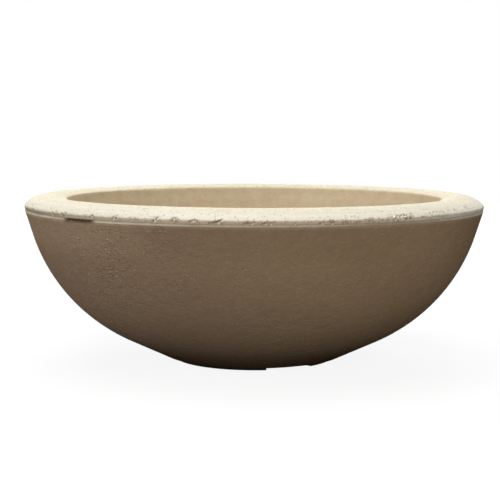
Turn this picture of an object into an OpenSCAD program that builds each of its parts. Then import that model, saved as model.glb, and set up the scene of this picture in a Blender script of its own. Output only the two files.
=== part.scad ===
// Bowl planter: a double-walled stone-resin bowl with a domed rim, a glued seam
// under the rim, and a drain in the middle of its floor that a rubber plug shuts.
// Millimetres. Z is up, the axis of the bowl is Z, and the floor it stands on is Z = 0.
// Every round section is drawn in the (radius, height) plane and revolved.

/* [Bowl] */
// Outer diameter, across the rim
bowl_d = 686; // [640:1:760]
// Height from the floor to the crown of the rim
bowl_h = 248; // [236:1:280]
// Outer diameter of the foot ring
foot_d = 240; // [210:1:260]
// Depth of the foot ring below the underside
foot_ring_h = 3; // [2:0.5:6]
// Width of the foot ring
foot_ring_w = 12; // [11:1:20]
// Width of the flat underside outside the foot ring
underside_w = 14; // [8:1:24]
// Slope of the underside, in degrees from level
underside_slope = 25.5; // [22:0.5:28]
// Slope of the upper side, in degrees from level
side_slope = 72.5; // [69:0.5:76]
// Radius of the belly, between the two slopes
belly_r = 257; // [200:1:270]
// Thickness of the outer shell
shell_t = 9; // [7:0.5:11]

/* [Rim] */
// Diameter of the mouth, where the inner wall's line meets the height of the crown
mouth_d = 562; // [540:1:580]
// Depth from the crown down to the seam
rim_h = 21.5; // [20:0.5:26]
// Distance from the outer edge in to the crown
crown_in = 36; // [31:0.5:40]
// Radius of the dome across the rim
crown_r = 76; // [68:1:90]
// Radius of the rim's outer edge
rim_edge_r = 11; // [10:0.5:13]
// Radius of the rim's inner edge
rim_inner_r = 3; // [2:0.5:4]
// Thickness of the rim's dome
rim_t = 9; // [7:0.5:9.5]
// Thickness of the rim's lip, where it laps over the shell
lip_t = 4.5; // [3.5:0.25:5.5]
// How far the rim stands out past the shell at the seam
rim_step = 1; // [0.5:0.25:2]

/* [Seam] */
// Height of the glue line between the rim and the shell
seam_h = 2.4; // [1.6:0.2:3.2]
// How far the glue bead stands out past the shell
bead_proud = 1; // [0.4:0.1:1.4]
// Height of the shell's tongue, inside the lip
tongue_h = 10; // [6:1:14]
// Gap between the tongue and the lip
tongue_gap = 0.4; // [0.2:0.1:0.8]

/* [Liner] */
// Diameter of the liner's flat floor
liner_floor_d = 244; // [220:1:260]
// Thickness of the liner
liner_t = 8; // [6:0.5:10]
// Slope of the liner's wall, in degrees from level
liner_slope = 80; // [78:0.5:83]
// Radius between the liner's wall and its sloping floor
liner_belly_r = 200; // [150:1:230]
// Gap between the two floors
floor_gap = 9; // [7:0.5:14]

/* [Drain] */
// Outer diameter of the drain bush
bush_d = 40; // [34:1:44]
// Inner diameter of the drain bush
bush_bore_d = 32; // [26:1:33]
// Diameter of the bush's flange
flange_d = 62; // [56:1:70]
// Thickness of the bush's flange
flange_t = 4; // [3:0.5:6]
// Diameter left open through the ledge that carries the grid
ledge_d = 27; // [20:1:29]
// Thickness of the ledge
ledge_t = 5; // [3:0.5:6]
// Gap round the bush in the holes of the two floors
bush_gap = 0.5; // [0.2:0.1:1]
// Thickness of the gasket under the flange
gasket_t = 2; // [1:0.5:3]
// Outer diameter of the gasket
gasket_d = 58; // [52:1:66]
// Thickness of the washer above the nut
washer_t = 2; // [1:0.5:2.5]
// Outer diameter of the washer
washer_d = 64; // [58:1:68]
// Width of the nut, across its flats
nut_w = 56; // [50:1:60]
// Height of the nut
nut_h = 7; // [5:0.5:7.5]
// Gap round the bush in the gasket, the washer and the nut
thread_gap = 0.1; // [0.05:0.05:0.3]
// How far the bush reaches below the nut
bush_tail = 1; // [0.5:0.25:1.5]
// Diameter of the pedestal that carries the liner's floor
pedestal_d = 100; // [92:1:120]

/* [Grid and plug] */
// Thickness of the drain grid
grid_t = 3; // [2:0.5:4]
// Diameter of each hole in the grid
grid_hole_d = 5; // [3:0.5:6]
// Distance from the centre of the grid to its ring of holes
grid_ring_r = 8.5; // [8:0.5:9.5]
// Holes in the ring, round the middle one
grid_holes = 6; // [5:1:7]
// Gap round the grid in the bush
grid_gap = 0.2; // [0.1:0.05:0.4]
// Running gap between the plug and the bush
plug_gap = 0.08; // [0.04:0.01:0.1]
// Gap under the plug's cap
cap_gap = 0.2; // [0.1:0.05:0.4]
// Depth of the plug in the bush
plug_depth = 16; // [12:1:18]
// How much the plug narrows towards its tip, on the radius
plug_taper = 1.5; // [0.5:0.25:3]
// Diameter of the plug's cap
cap_d = 46; // [40:1:52]
// Thickness of the plug's cap
cap_t = 4; // [3:0.5:6]
// Diameter of the stem between the cap and the knob
stem_d = 12; // [8:1:16]
// Length of the stem
stem_l = 9; // [6:1:14]
// Diameter of the knob
knob_d = 24; // [20:1:30]
// Thickness of the knob, whose rim is fully round
knob_t = 8; // [6:1:10]

/* [Foot pads] */
// Thickness of the pads under the foot ring
pad_t = 3; // [2:0.5:5]
// Width of the pads
pad_w = 10; // [6:1:11]
// Arc that one pad covers, in degrees
pad_arc = 84; // [30:1:88]
// Number of pads
pad_count = 3; // [3:1:4]
// Turn of the first pad's near end, in degrees
pad_turn = -165; // [-180:1:180]

/* [Hidden] */
$fn = 240;

// Colours
body_tan = [0.62, 0.53, 0.42];
rim_cream = [0.93, 0.90, 0.82];
bead_pale = [0.82, 0.76, 0.66];
fitting_grey = [0.24, 0.25, 0.26];
rubber_black = [0.09, 0.09, 0.10];
brick_rubber = [0.45, 0.20, 0.15];

// How far a round part of a section runs past the straight or larger round part that it blends
// into, so that the two always join
blend = 0.004;

// Levels, from the floor up
underside_z = pad_t + foot_ring_h;
shell_floor_z = underside_z + shell_t;
liner_under_z = shell_floor_z + floor_gap;
liner_floor_z = liner_under_z + liner_t;
seam_z = bowl_h - rim_h;
shell_top_z = seam_z - seam_h / 2;
lip_z = seam_z + seam_h / 2;

// Plan radii
bowl_r = bowl_d / 2;
foot_r = foot_d / 2;
seam_r = bowl_r - rim_step;
lip_in_r = seam_r - lip_t;
tongue_r = lip_in_r - tongue_gap;
bush_hole_r = bush_d / 2 + bush_gap;

// Drain levels
flange_z = liner_floor_z + gasket_t;
flange_top_z = flange_z + flange_t;
recess_z = underside_z + floor_gap;
washer_z = recess_z - washer_t;
nut_z = washer_z - nut_h;
bush_foot_z = nut_z - bush_tail;
grid_z = bush_foot_z + ledge_t;
cap_z = flange_top_z + cap_gap;

// A step of length 1 at an angle, in the section plane
function along(a) = [cos(a), sin(a)];

// The point where the line through p at angle a crosses the line through q at angle b
function meet(p, a, q, b) = p + along(a) * cross(q - p, along(b)) / cross(along(a), along(b));

// The last point at distance r from c on the line through p at angle a
function reach(p, a, c, r) =
    let (s = (c - p) * along(a), off = norm(c - p - s * along(a)))
    p + along(a) * (s + sqrt(r * r - off * off));

// Angle of the direction from p to q
function bearing(p, q) = atan2(q[1] - p[1], q[0] - p[0]);

// A disc in the section plane
module disc(c, r) {
    translate(c) circle(r = r);
}

// A disc's part between two angles
module sector(c, r, a0, a1) {
    intersection() {
        disc(c, r);
        polygon([for (a = [a0, (a0 + a1) / 2, a1]) c + 2 * r * along(a), c]);
    }
}

// A plate between two radii and two heights, for the section plane
module band(r0, r1, z0, z1) {
    translate([r0, z0]) square([r1 - r0, z1 - z0]);
}

// A filled dish in the section plane: straight sides, given by points from the middle of its
// floor on, and a belly whose disc runs a hair past both of them, up to the height top_z
module dish(sides, c, r, top_z) {
    polygon(sides);
    intersection() {
        disc(c, r + blend);
        band(0, bowl_r, sides[0][1], top_z);
    }
}

// A flat washer shape with a hole
module washer(d, hole_d, t) {
    difference() {
        cylinder(d = d, h = t);
        translate([0, 0, -1]) cylinder(d = hole_d, h = t + 2);
    }
}

// Outside of the shell: the underside slope and the side, with the belly between them
shell_foot = [foot_r + underside_w, underside_z];
shell_rim = [seam_r, seam_z];
shell_corner = meet(shell_foot, underside_slope, shell_rim, side_slope);
shell_tangent = belly_r * tan((side_slope - underside_slope) / 2);
shell_low = shell_corner - shell_tangent * along(underside_slope);
shell_high = shell_corner + shell_tangent * along(side_slope);
shell_centre = shell_low + belly_r * along(underside_slope + 90);
low_in = shell_t * along(underside_slope + 90);
high_in = shell_t * along(side_slope + 90);
// The side's two faces, where they reach the top of the shell and the bottom of the tongue
side_out_r = meet(shell_high, side_slope, [0, shell_top_z], 0)[0];
side_in_r = meet(shell_high + high_in, side_slope, [0, shell_top_z], 0)[0];
// Where the sloping floor's inner face meets the flat floor's
floor_corner = meet(shell_foot + low_in, underside_slope, [0, shell_floor_z], 0);

// Outer shell: foot ring, flat underside, sloping side and the tongue that the rim laps over.
// The middle of its floor rises as a pedestal, which leaves room for the nut below it.
module outer_shell() {
    pedestal_r = pedestal_d / 2;
    color(body_tan) rotate_extrude() difference() {
        union() {
            dish([[0, underside_z], shell_foot, shell_low, shell_high,
                  [side_out_r, shell_top_z], [0, shell_top_z]],
                 shell_centre, belly_r, shell_top_z);
            band(0, tongue_r, shell_top_z - seam_h, shell_top_z + tongue_h);
            band(foot_r - foot_ring_w, foot_r, pad_t, shell_floor_z);
        }
        difference() {
            dish([[0, shell_floor_z], floor_corner, shell_low + low_in, shell_high + high_in,
                  [side_in_r, shell_top_z], [side_in_r, bowl_h], [0, bowl_h]],
                 shell_centre, belly_r - shell_t, shell_top_z);
            band(0, pedestal_r, 0, liner_under_z);
        }
        band(0, pedestal_r - shell_t, 0, recess_z);
        band(0, bush_hole_r, 0, bowl_h);
    }
}

// Inside of the liner, and the rim's dome above it
liner_foot = [liner_floor_d / 2, liner_floor_z];
liner_mouth = [mouth_d / 2, bowl_h];
liner_corner = meet(liner_foot, underside_slope, liner_mouth, liner_slope);
liner_tangent = liner_belly_r * tan((liner_slope - underside_slope) / 2);
liner_low = liner_corner - liner_tangent * along(underside_slope);
liner_high = liner_corner + liner_tangent * along(liner_slope);
liner_centre = liner_low + liner_belly_r * along(underside_slope + 90);
liner_low_out = liner_t * along(underside_slope - 90);
liner_high_out = liner_t * along(liner_slope - 90);
liner_floor_corner = meet(liner_foot + liner_low_out, underside_slope, [0, liner_under_z], 0);

crown_centre = [bowl_r - crown_in, bowl_h - crown_r];
edge_centre = reach([bowl_r - rim_edge_r, 0], 90, crown_centre, crown_r - rim_edge_r + blend);
inner_line = liner_mouth + (rim_inner_r - blend) * along(liner_slope - 90);
inner_centre = reach(inner_line, liner_slope, crown_centre, crown_r - rim_inner_r + blend);
wall_top = inner_centre + (rim_inner_r - blend) * along(liner_slope + 90);

// The rim: a dome between two rounded edges, hollow below, with a lip that hangs down outside
module rim_dome() {
    edge_turn = bearing(crown_centre, edge_centre);
    inner_turn = bearing(crown_centre, inner_centre);
    difference() {
        union() {
            sector(crown_centre, crown_r, edge_turn, inner_turn);
            disc(edge_centre, rim_edge_r);
        }
        intersection() {
            disc(crown_centre, crown_r - rim_t);
            band(0, edge_centre[0], 0, bowl_h);
        }
        band(crown_centre[0], lip_in_r, 0, shell_top_z + tongue_h + tongue_gap);
        band(crown_centre[0], bowl_d, 0, lip_z);
    }
    disc(inner_centre, rim_inner_r);
}

// The liner: inner floor, belly and wall, up to the rounded inner edge of the rim
module liner() {
    difference() {
        dish([[0, liner_under_z], liner_floor_corner, liner_low + liner_low_out,
              liner_high + liner_high_out, wall_top + liner_high_out, wall_top - liner_high_out,
              [0, lip_z]],
             liner_centre, liner_belly_r + liner_t, seam_z);
        dish([[0, liner_floor_z], liner_foot, liner_low, liner_high, liner_mouth, [0, bowl_h]],
             liner_centre, liner_belly_r, seam_z);
        band(0, bush_hole_r, 0, bowl_h);
    }
}

// Rim and liner in one moulding
module rim_and_liner() {
    color(rim_cream) rotate_extrude() {
        rim_dome();
        liner();
    }
}

// Glue bead: fills the seam between the rim's lip and the shell, and stands out as a thin
// ridge, rounded through the lip's and the shell's own edges
module seam_bead() {
    nose_r = (pow(seam_h / 2, 2) + pow(bead_proud, 2)) / (2 * bead_proud);
    nose_centre = [side_out_r + bead_proud - nose_r, seam_z];
    color(bead_pale) rotate_extrude() {
        band(tongue_r, nose_centre[0], shell_top_z, lip_z);
        intersection() {
            disc(nose_centre, nose_r);
            band(tongue_r, bowl_r, shell_top_z, lip_z);
        }
    }
}

// Drain bush: a flanged tube through both floors, with a ledge at its foot for the grid
module drain_bush() {
    color(fitting_grey) difference() {
        union() {
            translate([0, 0, bush_foot_z]) cylinder(d = bush_d, h = flange_top_z - bush_foot_z);
            translate([0, 0, flange_z]) cylinder(d = flange_d, h = flange_t);
        }
        translate([0, 0, grid_z]) cylinder(d = bush_bore_d, h = flange_top_z - grid_z + 1);
        translate([0, 0, bush_foot_z - 1]) cylinder(d = ledge_d, h = ledge_t + 2);
    }
}

// Gasket between the flange and the liner's floor
module bush_gasket() {
    color(brick_rubber) translate([0, 0, liner_floor_z])
        washer(gasket_d, bush_d + 2 * thread_gap, gasket_t);
}

// Washer between the nut and the shell
module bush_washer() {
    color(rubber_black) translate([0, 0, washer_z])
        washer(washer_d, bush_d + 2 * thread_gap, washer_t);
}

// Six-sided nut that clamps both floors on the bush
module bush_nut() {
    color(fitting_grey) translate([0, 0, nut_z]) difference() {
        cylinder(d = nut_w / cos(30), h = nut_h, $fn = 6);
        translate([0, 0, -1]) cylinder(d = bush_d + 2 * thread_gap, h = nut_h + 2);
    }
}

// Grid on the ledge, which holds the soil back while water drains
module drain_grid() {
    color(fitting_grey) translate([0, 0, grid_z]) difference() {
        cylinder(d = bush_bore_d - 2 * grid_gap, h = grid_t);
        translate([0, 0, -1]) cylinder(d = grid_hole_d, h = grid_t + 2);
        for (i = [0 : grid_holes - 1]) {
            rotate([0, 0, i * 360 / grid_holes]) translate([grid_ring_r, 0, -1])
                cylinder(d = grid_hole_d, h = grid_t + 2);
        }
    }
}

// Rubber plug: a tapered stopper with a cap, a stem and a round knob to pull it out by
module drain_plug() {
    plug_r = bush_bore_d / 2 - plug_gap;
    straight_z = cap_z - plug_depth / 2;
    stem_z = cap_z + cap_t;
    knob_z = stem_z + stem_l;
    knob_round = knob_t / 2;
    knob_flat_r = knob_d / 2 - knob_round - blend;
    color(rubber_black) rotate_extrude() {
        polygon([
            [0, cap_z - plug_depth], [plug_r - plug_taper, cap_z - plug_depth], [plug_r, straight_z],
            [plug_r, cap_z], [cap_d / 2, cap_z], [cap_d / 2, stem_z], [0, stem_z]
        ]);
        band(0, stem_d / 2, stem_z, knob_z);
        band(0, knob_flat_r, knob_z, knob_z + knob_t);
        disc([knob_flat_r, knob_z + knob_round], knob_round + blend);
    }
}

// Rubber pads under the foot ring, with gaps between them that let water run away
module foot_pads() {
    pad_in_r = foot_r - (foot_ring_w + pad_w) / 2;
    color(rubber_black) for (i = [0 : pad_count - 1]) {
        rotate([0, 0, pad_turn + i * 360 / pad_count]) rotate_extrude(angle = pad_arc)
            band(pad_in_r, pad_in_r + pad_w, 0, pad_t);
    }
}

outer_shell();
rim_and_liner();
seam_bead();
drain_bush();
bush_gasket();
bush_washer();
bush_nut();
drain_grid();
drain_plug();
foot_pads();
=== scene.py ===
# %% [markdown]
# A stone-look bowl planter, dressed around its CAD model
#
# The planter is a wide, low bowl: a tan body, a domed cream rim with pits like those in
# travertine, and a thin pale line of glue right round the seam between the two. The CAD model
# gives the sizes and the places. This lesson adds what a CAD model leaves out: the worn
# surfaces, the materials, the light and the camera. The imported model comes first, because
# every piece made later rides on one of its bodies.

import math
import random

import bmesh
import bpy
from mathutils import Euler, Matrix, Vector
from mathutils.bvhtree import BVHTree


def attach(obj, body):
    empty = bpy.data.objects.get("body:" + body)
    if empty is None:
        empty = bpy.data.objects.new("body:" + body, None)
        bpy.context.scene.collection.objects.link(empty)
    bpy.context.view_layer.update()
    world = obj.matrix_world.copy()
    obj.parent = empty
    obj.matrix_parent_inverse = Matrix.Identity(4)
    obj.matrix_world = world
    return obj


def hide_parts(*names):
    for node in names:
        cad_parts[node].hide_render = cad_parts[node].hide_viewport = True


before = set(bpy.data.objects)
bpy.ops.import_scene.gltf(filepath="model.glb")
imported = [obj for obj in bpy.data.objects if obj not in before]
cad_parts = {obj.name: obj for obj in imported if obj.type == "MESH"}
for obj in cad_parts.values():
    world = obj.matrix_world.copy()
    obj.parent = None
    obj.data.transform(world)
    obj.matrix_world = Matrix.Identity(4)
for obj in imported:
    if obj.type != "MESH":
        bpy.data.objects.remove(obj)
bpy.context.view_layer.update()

# %% [markdown]
# The camera stands where the photographer stood: two metres in front of the bowl, a little
# above its rim and tipped down. Its place, its tilt and the length of its lens were found by
# matching the bowl's outline. A tiny turn and roll put the bowl a few pixels right of the
# middle and lean it by a sixth of a degree, as the photograph has it.

# %% Camera
FRAME_PX = 500
SENSOR_MM = 36.0
focal_px = 1363.7
camera_place = Vector((0.0, -2.058, 0.369))
tip_down, turn_left, roll = math.radians(5.73), 0.0029, math.radians(0.17)


def new_object(name, data):
    """An object at the origin, linked to the scene, that holds a mesh, a lamp or a camera."""
    thing = bpy.data.objects.new(name, data)
    bpy.context.scene.collection.objects.link(thing)
    return thing


camera = new_object("camera", bpy.data.cameras.new("camera"))
camera.data.sensor_width = SENSOR_MM
camera.data.lens = focal_px * SENSOR_MM / FRAME_PX
look = (Euler((0, 0, turn_left)).to_matrix()
        @ Euler((math.pi / 2 - tip_down, 0, 0)).to_matrix() @ Euler((0, 0, roll)).to_matrix())
camera.matrix_world = look.to_4x4()
camera.location = camera_place
bpy.context.scene.camera = camera
print("lens %.1f mm" % camera.data.lens)

# %% [markdown]
# Node trees are easier to read as sums than as boxes and wires. The class below wraps one
# output socket. Adding, multiplying or comparing two of them adds the Math node that does it,
# so that "1 - mask" or "depth * 0.5" is written as such, in shader trees and in Geometry Nodes
# alike. Any other node comes from one method, which takes the node's type, its settings and
# what goes into its sockets.

# %% A small language for node trees
class Wire:
    """One output socket of a node tree; arithmetic on it adds Math nodes."""

    def __init__(self, maker, socket):
        self.maker, self.socket = maker, socket

    def math(self, operation, *others, swap=False):
        values = [self, *others]
        if swap:
            values.reverse()
        return self.maker.node("ShaderNodeMath", {"operation": operation}, dict(enumerate(values)))

    def __add__(self, other): return self.math("ADD", other)
    def __radd__(self, other): return self.math("ADD", other)
    def __sub__(self, other): return self.math("SUBTRACT", other)
    def __rsub__(self, other): return self.math("SUBTRACT", other, swap=True)
    def __mul__(self, other): return self.math("MULTIPLY", other)
    def __truediv__(self, other): return self.math("DIVIDE", other)
    def __rtruediv__(self, other): return self.math("DIVIDE", other, swap=True)
    def __gt__(self, other): return self.math("GREATER_THAN", other)
    def __lt__(self, other): return self.math("LESS_THAN", other)
    def __neg__(self): return self.math("MULTIPLY", -1.0)
    def most(self, other): return self.math("MAXIMUM", other)
    def least(self, other): return self.math("MINIMUM", other)

    def ramp(self, low, high):
        """0 below low, 1 above high, with a soft S between them; low may be above high."""
        return self.maker.node("ShaderNodeMapRange", {"interpolation_type": "SMOOTHSTEP"},
                               {"Value": self, "From Min": low, "From Max": high})


class Maker:
    """Adds nodes to one tree."""

    def __init__(self, tree):
        self.tree = tree

    def node(self, kind, settings=None, inputs=None, out=0):
        """Adds a node: its settings first, then its sockets. Returns the output named or
        numbered by out, or the node itself where out is None."""
        node = self.tree.nodes.new(kind)
        for name, value in (settings or {}).items():
            setattr(node, name, value)
        for name, value in (inputs or {}).items():
            if isinstance(value, Wire):
                self.tree.links.new(value.socket, node.inputs[name])
            else:
                node.inputs[name].default_value = value
        return node if out is None else Wire(self, node.outputs[out])

    def vector(self, operation, a, b=None, scale=None, out=0):
        given = {name: value for name, value in ((0, a), (1, b), ("Scale", scale))
                 if value is not None}
        return self.node("ShaderNodeVectorMath", {"operation": operation}, given, out)

    def parts(self, vector):
        split = self.node("ShaderNodeSeparateXYZ", None, {0: vector}, None)
        return [Wire(self, socket) for socket in split.outputs]

    def join(self, x, y, z):
        return self.node("ShaderNodeCombineXYZ", None, {0: x, 1: y, 2: z})

    def noise(self, place, per_metre, detail, rough, out=0):
        return self.node("ShaderNodeTexNoise", None,
                         {"Vector": place, "Scale": per_metre, "Detail": detail,
                          "Roughness": rough}, out)

    def sway(self, place, per_metre, detail, rough, amount):
        """A small shift this way and that, to bend a pattern by."""
        noise = self.noise(place, per_metre, detail, rough, "Color")
        return self.vector("SCALE", self.vector("SUBTRACT", noise, (0.5, 0.5, 0.5)),
                           scale=amount)

    def tint(self, factor, a, b):
        """Colour a where factor is 0, colour b where it is 1. A Mix node takes its two colours
        at sockets 6 and 7 and gives the mixed one at output 2."""
        return self.node("ShaderNodeMix", {"data_type": "RGBA"}, {0: factor, 6: a, 7: b}, 2)


def srgb(r, g, b):
    """A colour read from a screen, 0 to 255, as Blender's linear colour."""
    return tuple((c / 255 / 12.92 if c <= 10 else ((c / 255 + 0.055) / 1.055) ** 2.4)
                 for c in (r, g, b)) + (1.0,)


def from_axis(x, y):
    """How far a place is from the bowl's axis."""
    return (x * x + y * y).math("SQRT")


print("half grey on a screen is %.3f in Blender" % srgb(128, 128, 128)[0])

# %% [markdown]
# The bowl is round, so one section drawn in the (radius, height) plane says all of its shape.
# It could be drawn point by point, but then no size could be changed later, so the section
# takes the CAD model's sizes and works out its arcs as the CAD model does. Only the rim's outer
# edge is the photograph's own: it bends down sooner and ends in a round of 4 mm, where the CAD
# model has one of 11 mm. The section runs anticlockwise, up the outside and down the inside,
# and is cut into strips: a strip that shows gets many steps round the bowl, a hidden one few.

# %% Sizes of the section, in millimetres and degrees
MM = 0.001
bowl_r, bowl_h, seam_z, seam_h = 343.0, 248.0, 226.5, 2.4
slope, side_slope, liner_slope = 25.5, 72.5, 80.0
belly_r, shell_t, liner_belly_r, liner_t = 257.0, 9.0, 200.0, 8.0
crown_r, crown_in, inner_r, rim_t, mouth_r = 76.0, 36.0, 3.0, 9.0, 281.0
crown_to_fall, fall_to_edge, edge_foot, edge_r = 78.0, 42.0, -8.0, 4.0
lip_in_r, lip_out_r, shell_top_r = 337.5, 342.1, 342.0
tongue_r, tongue_h, tongue_gap = 337.1, 10.0, 0.4
hole_r, underside_z, shell_floor_z, liner_under_z, liner_floor_z = 20.5, 6.0, 15.0, 24.0, 32.0
foot_r, foot_in_r, foot_z, pedestal_r, recess_r, recess_z = 120.0, 108.0, 3.0, 50.0, 41.0, 15.0
underside_r, liner_floor_r = foot_r + 14, 122.0
shell_top_z, lip_z = seam_z - seam_h / 2, seam_z + seam_h / 2


def along(angle):
    """A step of one millimetre at an angle of the section."""
    return Vector((math.cos(math.radians(angle)), math.sin(math.radians(angle))))


def meet(p, a, q, b):
    """Where the line through p at angle a crosses the line through q at angle b."""
    p, q = Vector(p), Vector(q)
    return p + along(a) * (q - p).cross(along(b)) / along(a).cross(along(b))


def reach(p, a, centre, r):
    """The last point at distance r from centre on the line through p at angle a."""
    p = Vector(p)
    ahead = (centre - p).dot(along(a))
    off = (centre - p - ahead * along(a)).length
    return p + along(a) * (ahead + math.sqrt(r * r - off * off))


def bearing(p, q):
    """The angle at which q lies from p."""
    return math.degrees(math.atan2(q[1] - p[1], q[0] - p[0]))


def straight(p, q, step):
    """Points from p to q, step apart or a little less, without p itself."""
    p, q = Vector(p), Vector(q)
    count = max(1, math.ceil((q - p).length / step))
    return [p.lerp(q, i / count) for i in range(1, count + 1)]


def arc(centre, r, a0, a1, step):
    """Points on an arc from angle a0 to a1, without the first."""
    count = max(2, math.ceil(abs(math.radians(a1 - a0)) * r / step))
    return [centre + r * along(a0 + (a1 - a0) * i / count) for i in range(1, count + 1)]


def legs(corners, steps):
    """Straight legs through a row of corners, each with its own step."""
    return [point for p, q, step in zip(corners, corners[1:], steps)
            for point in straight(p, q, step)]


def belly(foot, rim, high_slope, r):
    """The centre of the belly's arc, and its two ends, between two straight slopes."""
    corner = meet(foot, slope, rim, high_slope)
    tangent = r * math.tan(math.radians(high_slope - slope) / 2)
    low, high = corner - tangent * along(slope), corner + tangent * along(high_slope)
    return low + r * along(slope + 90), low, high


shell_centre, shell_low, shell_high = belly((underside_r, underside_z), (shell_top_r, seam_z),
                                            side_slope, belly_r)
liner_centre, liner_low, liner_high = belly((liner_floor_r, liner_floor_z), (mouth_r, bowl_h),
                                            liner_slope, liner_belly_r)
side_out_r = meet(shell_high, side_slope, (0, shell_top_z), 0)[0]
side_in = shell_high + shell_t * along(side_slope + 90)
side_in_r = meet(side_in, side_slope, (0, shell_top_z), 0)[0]
crown_centre = Vector((bowl_r - crown_in, bowl_h - crown_r))
crown_edge = crown_centre + crown_r * along(crown_to_fall)
fall_r = ((bowl_r - crown_edge[0] - edge_r * (1 - along(fall_to_edge)[0]))
          / (along(fall_to_edge) - along(crown_to_fall))[0])
fall_centre = crown_edge - fall_r * along(crown_to_fall)
edge_centre = fall_centre + (fall_r - edge_r) * along(fall_to_edge)
inner_centre = reach(Vector((mouth_r, bowl_h)) + inner_r * along(liner_slope - 90), liner_slope,
                     crown_centre, crown_r - inner_r)
inner_turn = bearing(crown_centre, inner_centre)
wall_top = inner_centre + inner_r * along(liner_slope + 90)
print("belly ends", [tuple(round(c, 1) for c in p) for p in (shell_low, shell_high)],
      "crown falls on %.1f mm" % fall_r)

# %% Sections, cut into strips of (points, steps round the bowl)
belly_split, fall_split = -38.0, 60.0          # where finer rows begin, on each arc
shell_corner = meet(Vector((underside_r, underside_z)) + shell_t * along(slope + 90), slope,
                    (0, shell_floor_z), 0)
tongue_z = shell_top_z + tongue_h
shell_strips = [
    ([Vector((hole_r, recess_z))]
     + legs([(hole_r, recess_z), (recess_r, recess_z), (recess_r, underside_z),
             (foot_in_r, underside_z), (foot_in_r, foot_z), (foot_r, foot_z),
             (foot_r, underside_z), (underside_r, underside_z)],
            (11, 9, 18, 3, 6, 3, 5)), 256),
    (straight((underside_r, underside_z), shell_low, 4)
     + arc(shell_centre, belly_r, slope - 90, belly_split, 3.8), 512),
    (arc(shell_centre, belly_r, belly_split, side_slope - 90, 2.3)
     + straight(shell_high, (side_out_r, shell_top_z), 2.3), 1024),
    (straight((side_out_r, shell_top_z), (tongue_r, shell_top_z), 2.5), 256),
    (legs([(tongue_r, shell_top_z), (tongue_r, tongue_z), (side_in_r, tongue_z),
           (side_in_r, shell_top_z), side_in], (6, 5, 6, 12))
     + arc(shell_centre, belly_r - shell_t, side_slope - 90, slope - 90, 14)
     + straight(shell_low + shell_t * along(slope + 90), shell_corner, 16)
     + [Vector((pedestal_r, shell_floor_z)), Vector((pedestal_r, liner_under_z)),
        Vector((hole_r, liner_under_z)), Vector((hole_r, recess_z))], 128),
]
liner_corner = meet(Vector((liner_floor_r, liner_floor_z)) + liner_t * along(slope - 90), slope,
                    (0, liner_under_z), 0)
wall_meet = reach(liner_high + liner_t * along(liner_slope - 90), liner_slope, crown_centre,
                  crown_r - rim_t)
dome_foot = reach((0, tongue_z + tongue_gap), 0, crown_centre, crown_r - rim_t)
lip_in, ceiling_end = Vector((lip_in_r, lip_z)), Vector((lip_in_r, dome_foot[1]))
lip_out, edge_low = Vector((lip_out_r, lip_z)), edge_centre + edge_r * along(edge_foot)
wall_split = wall_top - 12 * along(liner_slope)
rim_strips = [
    ([Vector((hole_r, liner_under_z))]
     + straight((hole_r, liner_under_z), liner_corner, 16)
     + straight(liner_corner, liner_low + liner_t * along(slope - 90), 14)
     + arc(liner_centre, liner_belly_r + liner_t, slope - 90, liner_slope - 90, 12)
     + straight(liner_high + liner_t * along(liner_slope - 90), wall_meet, 12)
     + arc(crown_centre, crown_r - rim_t, bearing(crown_centre, wall_meet),
           bearing(crown_centre, dome_foot), 8), 126),
    (straight(dome_foot, ceiling_end, 5) + straight(ceiling_end, lip_in, 4), 504),
    (straight(lip_in, lip_out, 1.6) + straight(lip_out, edge_low, 1.5)
     + arc(edge_centre, edge_r, edge_foot, fall_to_edge, 0.8)
     + arc(fall_centre, fall_r, fall_to_edge, fall_split, 1.05), 2016),
    (arc(fall_centre, fall_r, fall_split, crown_to_fall, 1.8)
     + arc(crown_centre, crown_r, crown_to_fall, inner_turn, 2.1), 1008),
    (arc(inner_centre, inner_r, inner_turn, liner_slope + 90, 0.8)
     + straight(wall_top, wall_split, 3), 504),
    (straight(wall_split, liner_high, 5)
     + arc(liner_centre, liner_belly_r, liner_slope - 90, slope - 90, 7)
     + straight(liner_low, (liner_floor_r, liner_floor_z), 8)
     + straight((liner_floor_r, liner_floor_z), (hole_r, liner_floor_z), 10)
     + [Vector((hole_r, liner_under_z))], 252),
]
for title, strips in (("shell", shell_strips), ("rim", rim_strips)):
    print(title, "rows", [len(points) for points, _ in strips])

# %% [markdown]
# Pits. The photograph shows travertine-like pits along the rim's outer edge. They could be
# painted on, but a dent that catches the light has to be in the mesh. Each is listed by the
# pixel where it shows, its radius and its depth in millimetres; a depth below zero is a crumb
# that stands out. A line of sight through the pixel meets the turned section, and that is where
# the pit goes, so it sits on the rim from any side. Long marks are rows of small pits.

# %% Where a pixel's line of sight meets a surface
def surface_of(node):
    """A search tree over one CAD node's surface."""
    mesh = bmesh.new()
    mesh.from_mesh(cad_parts[node].data)
    tree = BVHTree.FromBMesh(mesh)
    mesh.free()
    return tree


def turned_surface(points, around=720):
    """A search tree over section points turned round the axis."""
    places, faces, rows = [], [], len(points)
    for step in range(around):
        turn = 2 * math.pi * step / around
        places += [(r * MM * math.cos(turn), r * MM * math.sin(turn), z * MM) for r, z in points]
        after = (step + 1) % around
        faces += [(step * rows + i, after * rows + i, after * rows + i + 1, step * rows + i + 1)
                  for i in range(rows - 1)]
    return BVHTree.FromPolygons(places, faces)


def seen_at(surface, x, y):
    """The point of the surface that the photograph shows at pixel x, y."""
    heading = look @ Vector((x - FRAME_PX / 2, FRAME_PX / 2 - y, -focal_px)).normalized()
    return surface.ray_cast(camera_place, heading)[0]


def bearing_seen(x, y):
    """The bearing, round the bowl, of what the photograph shows at a pixel of the rim."""
    place = seen_at(rim_surface, x, y)
    return math.atan2(place.y, place.x)


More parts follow.
